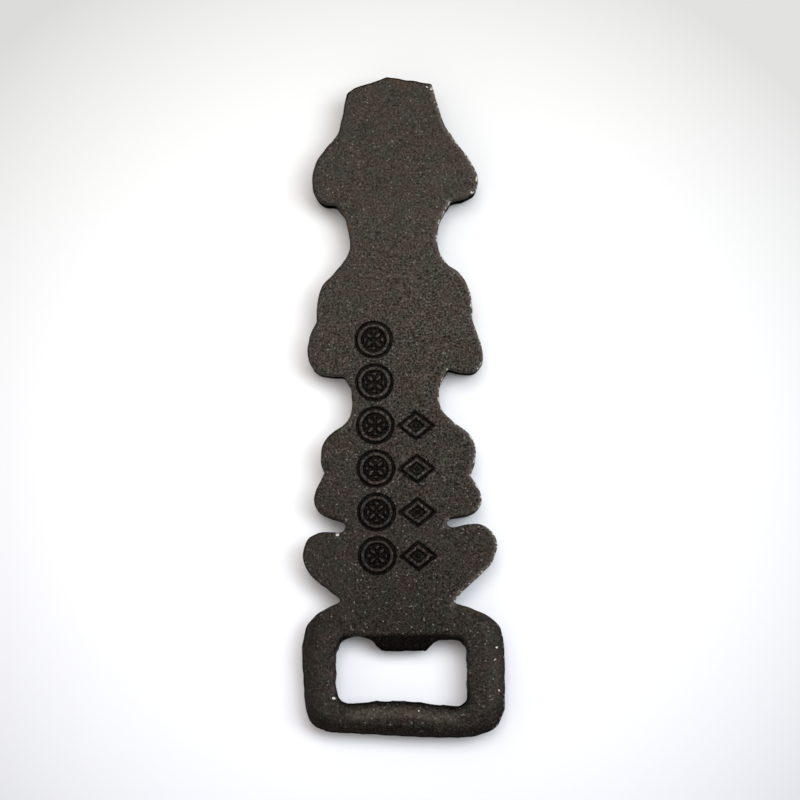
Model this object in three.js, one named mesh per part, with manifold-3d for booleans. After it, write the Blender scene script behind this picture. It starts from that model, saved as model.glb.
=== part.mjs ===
// Souvenir bottle opener: one flat iron casting. A lobed handle runs from a blunt, ground-off crown down
// through three tiers of lobes into a rounded loop. Inside the loop a wedge-shaped tooth catches the rim of
// a crown cap while the far bar of the loop bears on the cap's top.
//
// Millimetres. The opener lies on its front, back up: +Z is the back's outward normal and +Y runs from the
// loop to the crown. The origin is the centre of the bounding box in X and Y, on the surface it lies on.
import * as THREE from "three";
import { mergeVertices } from "three/addons/utils/BufferGeometryUtils.js";
import Module from "manifold-3d";

const wasm = await Module();
wasm.setup();

// ---------------------------------------------------------------- driving dimensions
const THICKNESS = 7; // front face to back face
const BACK_ROUND = { handle: 0.4, loop: 2.4 }; // edge radius round the back face
const FRONT_ROUND = { handle: 1.6, loop: 2 }; // edge radius round the front face
const LOOP_TURNS = { from: -42, to: -46.5 }; // Y over which the handle's edges turn into the loop's
const OPENING_ROUND = 0.7; // edge radius round the loop's opening, on both faces
const ROUND_STEPS = 3; // facets in each rounded edge
const CURVE_STEP = 1.7; // spacing of points along a smooth stretch of outline

// The tooth is a wedge between a bevel on the back and a smaller one on the front: its tip clears the table.
const TOOTH = {
  left: -7.2, right: 6.6, tipY: -52.4,
  back: { rootY: -48.9, tipZ: 4 },
  front: { rootY: -50.3, tipZ: 1.9 },
};

// Shallow saddles across the front where the handle narrows, so that each tier reads as a pad of its own.
const SADDLES = [
  { y: 36, radius: 16, depth: 1 },
  { y: 0.8, radius: 16, depth: 1 },
  { y: -26.6, radius: 7, depth: 0.8 },
  { y: -42.2, radius: 7, depth: 0.8 },
];

// Raised ornaments on the back, in two columns that share a pitch.
const ORNAMENT_PITCH = 9.2;
const ORNAMENT_RISE = 0.25;
const ORNAMENT_SINK = 0.6; // how far each one reaches into the casting it is part of
const ROSETTES = { x: -4.9, topY: 13.5, count: 6, radius: 3.5, stroke: 0.8, petal: 2.5 };
const LOZENGES = { x: 3.7, topY: -5.1, count: 4, halfWidth: 3.1, halfHeight: 2.5, stroke: 0.9 };

// ---------------------------------------------------------------- outlines
// Each stretch is a list of [x, y]. Consecutive stretches share an end, which stays a corner; a "line"
// stretch is kept as straight facets, and a "curve" stretch is a smooth curve through its points.
// Both outlines run anticlockwise.
const CASTING_OUTLINE = [
  // the crown's ground-off top, from its right corner over the peak to its left corner
  ["line", [[8.5, 69.4], [1.3, 70.7], [-1.1, 71.2], [-3, 70.4], [-8.2, 68.8], [-9.7, 67.7], [-10.3, 65.6]]],
  // left side, downwards
  ["curve", [[-10.3, 65.6], [-11.1, 61.4], [-12, 58.5], [-14, 56.1], [-15.2, 54.6]]],
  ["curve", [[-15.2, 54.6], [-16.8, 52], [-17.5, 48], [-16.8, 45.2], [-15.2, 43.5], [-12.5, 43.1]]],
  ["curve", [[-12.5, 43.1], [-10.8, 40.6], [-10, 37.4], [-9.6, 34], [-10.4, 31.3]]],
  ["curve", [[-10.4, 31.3], [-13, 28.2], [-15.5, 25.5], [-16.6, 22.6], [-17, 17.6]]],
  ["curve", [[-17, 17.6], [-18.6, 13.8], [-18.9, 10.2], [-17.6, 7.3], [-15.2, 6.1], [-11.4, 5.9]]],
  ["curve", [[-11.4, 5.9], [-10, 3.2], [-9.7, 0], [-10.3, -3.1], [-11.9, -5]]],
  ["curve", [[-11.9, -5], [-14.6, -6.7], [-16.3, -10], [-16.4, -12.8], [-15.6, -14.7]]],
  ["curve", [[-15.6, -14.7], [-17.4, -18.1], [-18, -20.8], [-17.1, -22.9], [-14.9, -24.1], [-12.2, -25.1]]],
  ["curve", [[-12.2, -25.1], [-11.5, -25.8], [-11.6, -26.9], [-12.4, -27.6]]],
  ["curve", [[-12.4, -27.6], [-16.4, -27.3], [-19.5, -28.9], [-20.4, -32.2], [-19.4, -35.6], [-16.7, -38.3],
    [-12.8, -41.3]]],
  // the loop
  ["curve", [[-12.7, -42], [-16.7, -43.8], [-19.6, -46.3], [-20.8, -50.2], [-20.8, -56], [-20.3, -63.4],
    [-19.1, -67], [-16.2, -68.6], [-9, -69.3], [0, -70], [8.5, -70.4], [14.9, -70.2], [18.8, -68.6],
    [20.8, -65.4], [21.2, -58.8], [21.1, -51], [20.2, -47.4], [17.2, -44.8], [11.3, -42.7]]],
  // right side, upwards
  ["curve", [[11.2, -42.2], [12.6, -40.4], [16.5, -36.9], [19.2, -34], [20.2, -30.6], [19, -27.6],
    [16, -26.1], [10.6, -26.8]]],
  ["curve", [[10.6, -26.8], [9.6, -26], [10.5, -24.9]]],
  ["curve", [[10.5, -24.9], [14.9, -24], [17.1, -22.1], [16.8, -19.2], [14.8, -15.9]]],
  ["curve", [[14.8, -15.9], [16, -12.9], [16.1, -9.7], [14.8, -6.9], [11.9, -4.7]]],
  ["curve", [[11.9, -4.7], [9.3, -1.9], [8.6, 1], [9.3, 4.2], [10.7, 7]]],
  ["curve", [[10.7, 7], [13.7, 6.2], [16.6, 6.4], [18.1, 8.8], [17.7, 12.5], [16.1, 17.2]]],
  ["curve", [[16.1, 17.2], [16.1, 21.7], [15, 25.4], [13.5, 27.8], [11.3, 29.3]]],
  ["curve", [[11.3, 29.3], [9.5, 32.1], [9, 35.4], [9.7, 39.1], [12.1, 43.3]]],
  ["curve", [[12.1, 43.3], [15.5, 44.3], [17.4, 45.6], [18, 48.3], [16.5, 52], [13.7, 56.1], [11.4, 59.7],
    [10, 63.5], [9.1, 67]]],
];

const OPENING_OUTLINE = [
  // across the top from right to left, with the tooth standing down between its two notches
  ["curve", [[13.2, -54.7], [12.9, -51.5], [11.5, -50.3], [9.2, -50.1], [7.6, -50.2], [6.3, -50.8],
    [4.8, -52.3]]],
  ["line", [[4.8, -52.3], [-4.3, -52.2]]],
  ["curve", [[-4.3, -52.2], [-5.2, -51.4], [-6.3, -50], [-8, -49.2], [-10.5, -49.1], [-12.6, -50.1],
    [-13.6, -52], [-13.9, -55]]],
  ["curve", [[-13.9, -55], [-13.8, -60.2], [-13.1, -62.3], [-11.3, -63.2]]],
  ["curve", [[-11.3, -63.2], [-4, -62.7], [2, -63], [8, -63.8], [11.5, -64.1]]],
  ["curve", [[11.5, -64.1], [13, -62.8], [13.3, -59.2], [13.2, -54.7]]],
];

// The points of a stretch: its own corners, or evenly spaced points on a smooth curve through them.
function stretchPoints([kind, corners]) {
  const points = corners.map(([x, y]) => new THREE.Vector3(x, y, 0));
  if (kind === "line") return points;
  const curve = new THREE.CatmullRomCurve3(points, false, "centripetal");
  return curve.getSpacedPoints(Math.max(3, Math.round(curve.getLength() / CURVE_STEP)));
}

// A closed loop of Vector2 from an outline's stretches, with the shared ends kept once.
function loopOf(outline) {
  const loop = [];
  for (const stretch of outline) {
    for (const { x, y } of stretchPoints(stretch)) {
      const last = loop.at(-1);
      if (!last || last.distanceTo(new THREE.Vector2(x, y)) > 0.05) loop.push(new THREE.Vector2(x, y));
    }
  }
  if (loop[0].distanceTo(loop.at(-1)) < 0.05) loop.pop();
  return loop;
}

// The loop with each point moved inwards by its own distance, or outwards by a negative one, on its mitre.
function inset(loop, distanceAt) {
  const inward = (from, to) => {
    const along = to.clone().sub(from).normalize();
    return new THREE.Vector2(-along.y, along.x);
  };
  return loop.map((point, i) => {
    const before = inward(loop.at(i - 1), point);
    const after = inward(point, loop[(i + 1) % loop.length]);
    const mitre = before.clone().add(after).normalize();
    return point.clone().addScaledVector(mitre, distanceAt(point) / mitre.dot(before));
  });
}

// ---------------------------------------------------------------- solids
// A closed three.js geometry as a manifold-3d solid.
function solidOf(geometry) {
  const bare = geometry.clone();
  bare.deleteAttribute("normal");
  bare.deleteAttribute("uv");
  const merged = mergeVertices(bare, 1e-4);
  return new wasm.Manifold(
    new wasm.Mesh({
      numProp: 3,
      vertProperties: merged.attributes.position.array,
      triVerts: new Uint32Array(merged.index.array),
    }),
  );
}

function geometryOf(solid) {
  const mesh = solid.getMesh();
  const geometry = new THREE.BufferGeometry();
  geometry.setAttribute("position", new THREE.BufferAttribute(new Float32Array(mesh.vertProperties), 3));
  geometry.setIndex(new THREE.BufferAttribute(new Uint32Array(mesh.triVerts), 1));
  return geometry;
}

// A closed solid whose section is the loop. Each level gives every point of the loop its height and how
// far inwards it moves; the first and last levels are flat and become the end faces.
function loft(loop, levels) {
  const count = loop.length;
  const rings = levels.map(({ inwardAt }) => inset(loop, inwardAt));
  const heights = levels.map(({ zAt }) => loop.map(zAt));
  const positions = rings.flatMap((ring, k) => ring.flatMap(({ x, y }, i) => [x, y, heights[k][i]]));
  const index = [];
  for (let k = 0; k + 1 < rings.length; k++) {
    for (let i = 0; i < count; i++) {
      const next = (i + 1) % count;
      const [a, b] = [k * count + i, k * count + next];
      const [c, d] = [a + count, b + count];
      index.push(a, b, d, a, d, c);
    }
  }
  const top = (rings.length - 1) * count;
  const bottomFace = THREE.ShapeUtils.triangulateShape(rings[0], []);
  const topFace = THREE.ShapeUtils.triangulateShape(rings.at(-1), []);
  for (const [a, b, c] of bottomFace) index.push(c, b, a);
  for (const [a, b, c] of topFace) index.push(top + a, top + b, top + c);
  const geometry = new THREE.BufferGeometry();
  geometry.setAttribute("position", new THREE.BufferAttribute(new Float32Array(positions), 3));
  geometry.setIndex(index);
  return solidOf(geometry);
}

// Levels of a quarter-round edge, from a face (at height faceZ, with the casting on its `side`, +1 above it
// or -1 below it) to the wall. A hollow's edge flares outwards instead of drawing in.
function roundEdge(faceZ, side, radiusAt, hollow = false) {
  return Array.from({ length: ROUND_STEPS + 1 }, (_, k) => {
    const angle = (k / ROUND_STEPS) * (Math.PI / 2);
    return {
      zAt: (point) => faceZ + side * radiusAt(point) * (1 - Math.cos(angle)),
      inwardAt: (point) => (hollow ? -1 : 1) * radiusAt(point) * (1 - Math.sin(angle)),
    };
  });
}

// The edge radius at a point of the outline: the handle's, turning into the loop's below the neck.
function radiusBetween({ handle, loop }) {
  const { smoothstep, lerp } = THREE.MathUtils;
  return ({ y }) => lerp(loop, handle, smoothstep(y, LOOP_TURNS.to, LOOP_TURNS.from));
}

function plate() {
  const front = roundEdge(0, 1, radiusBetween(FRONT_ROUND));
  const back = roundEdge(THICKNESS, -1, radiusBetween(BACK_ROUND)).reverse();
  return loft(loopOf(CASTING_OUTLINE), [...front, ...back]);
}

// The tool that cuts the loop's opening: it flares at both faces, which rounds the opening's edges.
function openingCutter() {
  const radiusAt = () => OPENING_ROUND;
  const front = roundEdge(0, 1, radiusAt, true);
  const back = roundEdge(THICKNESS, -1, radiusAt, true).reverse();
  const below = { zAt: () => -1, inwardAt: () => -OPENING_ROUND };
  const above = { zAt: () => THICKNESS + 1, inwardAt: () => -OPENING_ROUND };
  return loft(loopOf(OPENING_OUTLINE), [below, ...front, ...back, above]);
}

// The tool that slopes the tooth from one face, at height faceZ, to its tip.
function toothBevelCutter({ rootY, tipZ }, faceZ) {
  const clearOfFace = faceZ > tipZ ? faceZ + 1 : faceZ - 1;
  const pastTip = TOOTH.tipY - 0.5;
  const profile = new THREE.Shape([
    new THREE.Vector2(rootY, faceZ),
    new THREE.Vector2(rootY, clearOfFace),
    new THREE.Vector2(pastTip, clearOfFace),
    new THREE.Vector2(pastTip, tipZ),
    new THREE.Vector2(TOOTH.tipY, tipZ),
  ]);
  const width = TOOTH.right - TOOTH.left;
  const prism = new THREE.ExtrudeGeometry(profile, { depth: width, bevelEnabled: false });
  // the profile is drawn in (Y, Z) and extruded along X
  prism.applyMatrix4(new THREE.Matrix4().makeBasis(
    new THREE.Vector3(0, 1, 0), new THREE.Vector3(0, 0, 1), new THREE.Vector3(1, 0, 0),
  ));
  prism.translate(TOOTH.left, 0, 0);
  return solidOf(prism);
}

function saddleCutter({ y, radius, depth }) {
  const drum = new THREE.CylinderGeometry(radius, radius, 60, 72);
  drum.rotateZ(Math.PI / 2);
  drum.translate(0, y, depth - radius);
  return solidOf(drum);
}

function raised(shape) {
  const options = { depth: ORNAMENT_RISE + ORNAMENT_SINK, bevelEnabled: false, curveSegments: 5 };
  return new THREE.ExtrudeGeometry(shape, options).translate(0, 0, THICKNESS - ORNAMENT_SINK);
}

// A ring with four leaf-shaped petals inside it.
function rosette(x, y) {
  const ring = new THREE.Shape().absarc(0, 0, ROSETTES.radius, 0, 2 * Math.PI);
  ring.holes.push(new THREE.Path().absarc(0, 0, ROSETTES.radius - ROSETTES.stroke, 0, 2 * Math.PI, true));
  const ringGeometry = new THREE.ExtrudeGeometry(ring, {
    depth: ORNAMENT_RISE + ORNAMENT_SINK, bevelEnabled: false, curveSegments: 20,
  }).translate(0, 0, THICKNESS - ORNAMENT_SINK);
  let solid = solidOf(ringGeometry);
  const { petal } = ROSETTES;
  for (let k = 0; k < 4; k++) {
    const leaf = new THREE.Shape();
    leaf.moveTo(0.25, 0);
    leaf.quadraticCurveTo(petal / 2, -petal / 2.6, petal, 0);
    leaf.quadraticCurveTo(petal / 2, petal / 2.6, 0.25, 0);
    solid = solid.add(solidOf(raised(leaf).rotateZ((k + 0.5) * (Math.PI / 2))));
  }
  return solid.translate([x, y, 0]);
}

// A diamond frame with a small diamond at its centre.
function lozenge(x, y) {
  const { halfWidth, halfHeight, stroke } = LOZENGES;
  const diamond = (w, h) => [[w, 0], [0, h], [-w, 0], [0, -h]].map(([a, b]) => new THREE.Vector2(a, b));
  const frame = new THREE.Shape(diamond(halfWidth, halfHeight));
  frame.holes.push(new THREE.Path(diamond(halfWidth - 1.4 * stroke, halfHeight - 1.4 * stroke).reverse()));
  const centre = new THREE.Shape(diamond(stroke * 0.75, stroke * 0.6));
  return solidOf(raised(frame)).add(solidOf(raised(centre))).translate([x, y, 0]);
}

function casting() {
  let solid = plate().subtract(openingCutter());
  solid = solid.subtract(toothBevelCutter(TOOTH.back, THICKNESS)).subtract(toothBevelCutter(TOOTH.front, 0));
  for (const saddle of SADDLES) solid = solid.subtract(saddleCutter(saddle));
  for (let k = 0; k < ROSETTES.count; k++) {
    solid = solid.add(rosette(ROSETTES.x, ROSETTES.topY - k * ORNAMENT_PITCH));
  }
  for (let k = 0; k < LOZENGES.count; k++) {
    solid = solid.add(lozenge(LOZENGES.x, LOZENGES.topY - k * ORNAMENT_PITCH));
  }
  return solid;
}

// ---------------------------------------------------------------- the part
const blackIron = new THREE.MeshStandardMaterial({ color: 0x423c37, roughness: 0.62, metalness: 0.35 });

const opener = new THREE.Mesh(geometryOf(casting()), blackIron);
opener.name = "opener_casting";
opener.geometry.computeBoundingBox();
const middle = opener.geometry.boundingBox.getCenter(new THREE.Vector3());
opener.position.set(-middle.x, -middle.y, 0);

const part = new THREE.Group();
part.add(opener);

export default part;
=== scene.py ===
# Souvenir bottle opener: one sand-cast piece of iron, lying front down on a white table.
# The casting is one closed mesh: a back and a front surface, each a height over the opener's plan, and the
# wall that joins them round the outside and round the opening. Metres; MM turns millimetres into metres.
import math

import bpy
import numpy as np
from mathutils import Matrix, Vector, kdtree
from mathutils.geometry import delaunay_2d_cdt


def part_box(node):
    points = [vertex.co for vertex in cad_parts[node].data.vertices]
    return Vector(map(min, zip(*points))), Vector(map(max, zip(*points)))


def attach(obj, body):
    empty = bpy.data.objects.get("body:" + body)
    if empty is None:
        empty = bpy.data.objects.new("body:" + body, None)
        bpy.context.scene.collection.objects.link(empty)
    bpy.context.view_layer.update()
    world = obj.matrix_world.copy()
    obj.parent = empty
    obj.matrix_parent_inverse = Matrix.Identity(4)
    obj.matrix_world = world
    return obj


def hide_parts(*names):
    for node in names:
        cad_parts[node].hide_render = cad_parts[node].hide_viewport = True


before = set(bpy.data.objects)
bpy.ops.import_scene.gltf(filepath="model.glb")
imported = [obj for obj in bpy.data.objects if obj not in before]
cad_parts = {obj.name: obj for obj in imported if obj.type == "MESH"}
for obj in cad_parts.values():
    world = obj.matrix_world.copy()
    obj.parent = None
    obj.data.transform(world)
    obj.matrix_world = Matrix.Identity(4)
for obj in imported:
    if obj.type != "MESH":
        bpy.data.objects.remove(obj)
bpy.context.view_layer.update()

MM = 0.001
NODE = "opener_casting"
_, HIGH = (np.array(corner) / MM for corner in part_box(NODE))  # the casting's largest x, y and z, in mm
ORNAMENT_RISE = 0.25  # mm that the ornament stands above the back
BACK_Z = HIGH[2] - ORNAMENT_RISE  # height of the flat back
rng = np.random.default_rng(20)

# ---------------------------------------------------------------- outlines, in mm
# Stretches of [x, y] points that share their ends, anticlockwise. A shared end stays a corner.
CASTING_OUTLINE = [
    # the crown's ground-off top, from its right corner over the peak to its left corner
    ("line", [[8.5, 69.4], [1.3, 70.7], [-1.1, 71.2], [-3, 70.4], [-8.2, 68.8], [-9.7, 67.7], [-10.3, 65.6]]),
    # left side, downwards
    ("curve", [[-10.3, 65.6], [-11.1, 61.4], [-12, 58.5], [-14, 56.1], [-15.2, 54.6]]),
    ("curve", [[-15.2, 54.6], [-16.8, 52], [-17.5, 48], [-16.8, 45.2], [-15.2, 43.5], [-12.5, 43.1]]),
    ("curve", [[-12.5, 43.1], [-10.8, 40.6], [-10, 37.4], [-9.6, 34], [-10.4, 31.3]]),
    ("curve", [[-10.4, 31.3], [-13, 28.2], [-15.5, 25.5], [-16.6, 22.6], [-17, 17.6]]),
    ("curve", [[-17, 17.6], [-18.6, 13.8], [-18.9, 10.2], [-17.6, 7.3], [-15.2, 6.1], [-11.4, 5.9]]),
    ("curve", [[-11.4, 5.9], [-10, 3.2], [-9.7, 0], [-10.3, -3.1], [-11.9, -5]]),
    ("curve", [[-11.9, -5], [-14.6, -6.7], [-16.3, -10], [-16.4, -12.8], [-15.6, -14.7]]),
    ("curve", [[-15.6, -14.7], [-17.4, -18.1], [-18, -20.8], [-17.1, -22.9], [-14.9, -24.1],
               [-12.2, -25.1]]),
    ("curve", [[-12.2, -25.1], [-11.5, -25.8], [-11.6, -26.9], [-12.4, -27.6]]),
    ("curve", [[-12.4, -27.6], [-16.4, -27.3], [-19.5, -28.9], [-20.4, -32.2], [-19.4, -35.6], [-16.7, -38.3],
               [-12.8, -41.3]]),
    # the loop
    ("curve", [[-12.7, -42], [-16.7, -43.8], [-19.6, -46.3], [-20.8, -50.2], [-20.8, -56], [-20.3, -63.4],
               [-19.1, -67], [-16.2, -68.6], [-9, -69.3], [0, -70], [8.5, -70.4], [14.9, -70.2],
               [18.8, -68.6], [20.8, -65.4], [21.2, -58.8], [21.1, -51], [20.2, -47.4], [17.2, -44.8],
               [11.3, -42.7]]),
    # right side, upwards
    ("curve", [[11.2, -42.2], [12.6, -40.4], [16.5, -36.9], [19.2, -34], [20.2, -30.6], [19, -27.6],
               [16, -26.1], [10.6, -26.8]]),
    ("curve", [[10.6, -26.8], [9.6, -26], [10.5, -24.9]]),
    ("curve", [[10.5, -24.9], [14.9, -24], [17.1, -22.1], [16.8, -19.2], [14.8, -15.9]]),
    ("curve", [[14.8, -15.9], [16, -12.9], [16.1, -9.7], [14.8, -6.9], [11.9, -4.7]]),
    ("curve", [[11.9, -4.7], [9.3, -1.9], [8.6, 1], [9.3, 4.2], [10.7, 7]]),
    ("curve", [[10.7, 7], [13.7, 6.2], [16.6, 6.4], [18.1, 8.8], [17.7, 12.5], [16.1, 17.2]]),
    ("curve", [[16.1, 17.2], [16.1, 21.7], [15, 25.4], [13.5, 27.8], [11.3, 29.3]]),
    ("curve", [[11.3, 29.3], [9.5, 32.1], [9, 35.4], [9.7, 39.1], [12.1, 43.3]]),
    ("curve", [[12.1, 43.3], [15.5, 44.3], [17.4, 45.6], [18, 48.3], [16.5, 52], [13.7, 56.1], [11.4, 59.7],
               [10, 63.5], [9.1, 67]]),
]
OPENING_OUTLINE = [
    # across the top from right to left, with the tooth standing down between its two notches
    ("curve", [[13.2, -54.7], [12.9, -51.5], [11.5, -50.3], [9.2, -50.1], [7.6, -50.2], [6.3, -50.8],
               [4.8, -52.3]]),
    ("line", [[4.8, -52.3], [-4.3, -52.2]]),
    ("curve", [[-4.3, -52.2], [-5.2, -51.4], [-6.3, -50], [-8, -49.2], [-10.5, -49.1], [-12.6, -50.1],
               [-13.6, -52], [-13.9, -55]]),
    ("curve", [[-13.9, -55], [-13.8, -60.2], [-13.1, -62.3], [-11.3, -63.2]]),
    ("curve", [[-11.3, -63.2], [-4, -62.7], [2, -63], [8, -63.8], [11.5, -64.1]]),
    ("curve", [[11.5, -64.1], [13, -62.8], [13.3, -59.2], [13.2, -54.7]]),
]
CORNER_ROUND = {"casting": 0.25, "opening": 0.2}  # how far the metal softens each outline's corners
# How far the rough edges wander, in waves and in nicks.
WOBBLE = {"casting": (0.04, 0.02), "opening": (0.05, 0.05)}
NICKED_ABOVE = 0.4  # level of the grain above which it nicks the edge
FINE_STEP = 0.1  # spacing along an outline while it is being softened
WALL_STEP = 0.4  # spacing along an outline in the mesh


def smooth_curve(corners, step):
    """Points every `step` along a centripetal Catmull-Rom curve through the corners."""
    knots = np.array(corners, float)
    knots = np.vstack([2 * knots[0] - knots[1], knots, 2 * knots[-1] - knots[-2]])
    pieces = []
    for p0, p1, p2, p3 in zip(knots, knots[1:], knots[2:], knots[3:]):
        d01, d12, d23 = (math.sqrt(np.linalg.norm(b - a)) for a, b in ((p0, p1), (p1, p2), (p2, p3)))
        start = ((p1 - p0) / d01 - (p2 - p0) / (d01 + d12) + (p2 - p1) / d12) * d12
        end = ((p2 - p1) / d12 - (p3 - p1) / (d12 + d23) + (p3 - p2) / d23) * d12
        t = np.linspace(0, 1, max(4, int(np.linalg.norm(p2 - p1) / step * 1.5)), endpoint=False)[:, None]
        cubic = 2 * p1 - 2 * p2 + start + end
        square = -3 * p1 + 3 * p2 - 2 * start - end
        pieces.append(((cubic * t + square) * t + start) * t + p1)
    return np.vstack(pieces + [knots[-2:-1]])


def even_loop(points, step):
    """The closed loop through the points, with equal spacing close to `step`."""
    closed = np.vstack([points, points[:1]])
    lengths = np.hypot(*np.diff(closed, axis=0).T)
    keep = np.append(True, lengths > 1e-6)
    closed, lengths = closed[keep], lengths[lengths > 1e-6]
    along = np.append(0, np.cumsum(lengths))
    at = np.arange(round(along[-1] / step)) * (along[-1] / round(along[-1] / step))
    return np.stack([np.interp(at, along, closed[:, k]) for k in (0, 1)], 1)


def soften(loop, radius, step):
    """Averages a closed loop along its length, which rounds its corners."""
    span = np.arange(-int(3 * radius / step), int(3 * radius / step) + 1)
    weights = np.exp(-0.5 * (span * step / radius) ** 2)
    weights /= weights.sum()
    return sum(w * np.roll(loop, -k, axis=0) for k, w in zip(span, weights))


def loop_normals(loop, sign):
    """Unit directions across a closed loop: to the left of its run for sign 1, to the right for -1."""
    tangent = np.roll(loop, -1, axis=0) - np.roll(loop, 1, axis=0)
    tangent /= np.linalg.norm(tangent, axis=1)[:, None]
    return sign * np.stack([-tangent[:, 1], tangent[:, 0]], 1)


def outline_loop(stretches, corner_round):
    points = np.vstack([smooth_curve(p, FINE_STEP) if kind == "curve" else np.array(p, float)
                        for kind, p in stretches])
    fine = even_loop(points, FINE_STEP)
    return soften(fine, corner_round, FINE_STEP)


def rough_loop(loop, waves, nicks):
    """The outline as the sand left it: it wanders a little, and has small nicks."""
    x, y = loop.T
    away = waves * RIPPLE.at(x, y) - nicks * np.maximum(GRAIN.at(x, y) - NICKED_ABOVE, 0)
    return loop + loop_normals(loop, -1) * away[:, None]


# ---------------------------------------------------------------- height of the two surfaces, in mm
# Quarter-ellipse rounding of an edge: how far it reaches in from the outline, and how far it drops.
HANDLE_BACK_ROUND = (0.45, 0.4)
LOOP_BACK_ROUND = (4.2, 2.5)
OPENING_BACK_ROUND = (1.0, 1.0)
HANDLE_FRONT_ROUND = (1.8, 1.6)
LOOP_FRONT_ROUND = (2.4, 2.0)
OPENING_FRONT_ROUND = (1.1, 0.9)
LOOP_STARTS, LOOP_ENDS = -41.5, -46.5  # y over which the handle's edges turn into the loop's
DRAFT = 0.3  # how far the walls lean in from the back to the front
DRAFT_REACH = 3.0  # how far in from the outline the front's points move with its walls

# The tooth is a wedge between a bevel on the back and one on the front, which lifts its tip off the table.
# The front's bevel grows from none to full over its `fade`, measured sideways from the middle.
TOOTH = {"root_y": -48.9, "tip_y": -52.3, "tip_z": 4.0, "left": -12.6, "right": 9.4}
TOOTH_UNDER = {"root_y": -50.3, "tip_z": 1.9, "fade": (11, 8)}
BEVEL_FADE = (1.2, 0.6)  # how far outside and inside its left and right ends the back's bevel fades
BEVEL_SKIN = 0.4  # how rough that bevel is, compared with the back
BEVELS_STOP_Y = -56  # past the tooth's tip, halfway down the opening
CREASE = 0.35  # how softly the back turns into the bevel
UNCUT_Z = BACK_Z + 3  # well above the metal

ORNAMENT_PITCH = 9.2
ROSETTES = {"x": -4.9, "top_y": 13.5, "count": 6, "radius": 3.05, "half_stroke": 0.5}
LEAVES = {"count": 4, "middle": 1.3, "half_width": 0.5, "stretch": 1.9}  # inside each rosette's ring
LOZENGES = {"x": 3.7, "top_y": -5.1, "count": 4, "half_width": 2.5, "half_height": 2.0, "half_stroke": 0.5}
LOZENGE_CORE = 0.2  # size of the small diamond inside, as a share of the lozenge
STROKE_RISES = (0.05, -0.35)  # distance from a stroke's edge over which the stroke rises
TRENCH_DEPTH = 0.5  # the groove that runs round every raised stroke
TRENCH_HALF_WIDTH = 0.36
TRENCH_AWAY = 0.2  # from the edge of the stroke to the middle of its groove

# Marks that casting, fettling and use have left on the back and its edges.
CHIPS = [(7.5, 68.6, 0.28), (8.4, 68.2, 0.33), (9.1, 65.4, 0.3), (17.8, 48, 0.45), (16.5, 45.2, 0.3),
         (9.6, 39.2, 0.35), (9.1, 36.4, 0.3), (15.9, 20.6, 0.3), (-13.2, -28, 0.42), (-14.3, -62, 0.42),
         (19.6, -52, 0.3), (19.2, -54.6, 0.27), (19.9, -61, 0.24), (3.2, -64.9, 0.25)]  # x, y, radius
CHIP_DEPTH = 0.3
DENTS = [(0.5, 59, 4.6, 0.12), (2, 26, 5.2, 0.14), (-5.5, 50, 4, 0.1),
         (-9, -33, 3.4, 0.12)]  # x, y, radius, depth
DENT_SIDE = 1.4  # how wide the sloping side of a dent is
RIDGE = {"from": (10, -42.5), "to": (20.5, -50.5), "inside": 1.9, "half_width": 0.5, "rise": 0.2}
SCRATCHES = [{"from": (15.8, -51.3), "to": (21.5, -52.3), "half_width": 0.3, "depth": 0.18},
             {"from": (-1.5, 59.0), "to": (0.9, 60.6), "half_width": 0.22, "depth": 0.2}]
MARK_ENDS = 0.12  # share of a ridge's or scratch's length over which each of its ends fades

SADDLES_Y = (38.5, 1, -26.4, -42)  # the front's shallow saddles, which part it into pads
SADDLE_DEPTH = 0.9
SADDLE_WIDTH = 2.2
BORDER = {"inside": 2.9, "half_width": 0.35, "depth": 0.35}  # the line cut along the pads' edges
FRONT_SKIN = 0.7  # how rough the front is, compared with the back
FRONT_SKIN_SHIFT = 50  # takes the front's skin from another part of the pattern


def step_between(low, high, value):
    """0 up to `low` and 1 from `high` on, or the other way round when `low` is the larger one."""
    t = np.clip((value - low) / (high - low), 0, 1)
    return t * t * (3 - 2 * t)


def mix(a, b, t):
    return a + (b - a) * t


def edge_drop(distance, reach, drop):
    from_end = np.clip(1 - distance / reach, 0, 1)
    return drop * (1 - np.sqrt(1 - from_end**2))


def rosette_distance(x, y):
    """Signed distance to the edge of a ring with four leaves inside it."""
    distance = np.abs(np.hypot(x, y) - ROSETTES["radius"]) - ROSETTES["half_stroke"]
    for k in range(LEAVES["count"]):
        angle = math.pi / 4 + k * 2 * math.pi / LEAVES["count"]
        along = x * math.cos(angle) + y * math.sin(angle)
        across = -x * math.sin(angle) + y * math.cos(angle)
        leaf = np.hypot((along - LEAVES["middle"]) / LEAVES["stretch"], across) - LEAVES["half_width"]
        distance = np.minimum(distance, leaf)
    return distance


def lozenge_distance(x, y):
    """Signed distance to the edge of a diamond frame with a small diamond at its centre."""
    wide, high = LOZENGES["half_width"], LOZENGES["half_height"]
    slope = math.hypot(1 / wide, 1 / high)
    size = np.abs(x) / wide + np.abs(y) / high
    stroke = np.abs((size - 1) / slope) - LOZENGES["half_stroke"]
    return np.minimum(stroke, (size - LOZENGE_CORE) / slope)


def ornament_distance(x, y):
    distance = np.full_like(x, np.inf)
    for spec, shape in ((ROSETTES, rosette_distance), (LOZENGES, lozenge_distance)):
        for k in range(spec["count"]):
            at = shape(x - spec["x"], y - spec["top_y"] + k * ORNAMENT_PITCH)
            distance = np.minimum(distance, at)
    return distance


def ornament_height(distance):
    """A raised stroke with softened edges, and the groove that sets it off from the back."""
    rise = ORNAMENT_RISE * step_between(*STROKE_RISES, distance)
    across = np.clip((distance - TRENCH_AWAY) / TRENCH_HALF_WIDTH, -1, 1)
    return rise - TRENCH_DEPTH * (1 - across**2) ** 2


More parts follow.
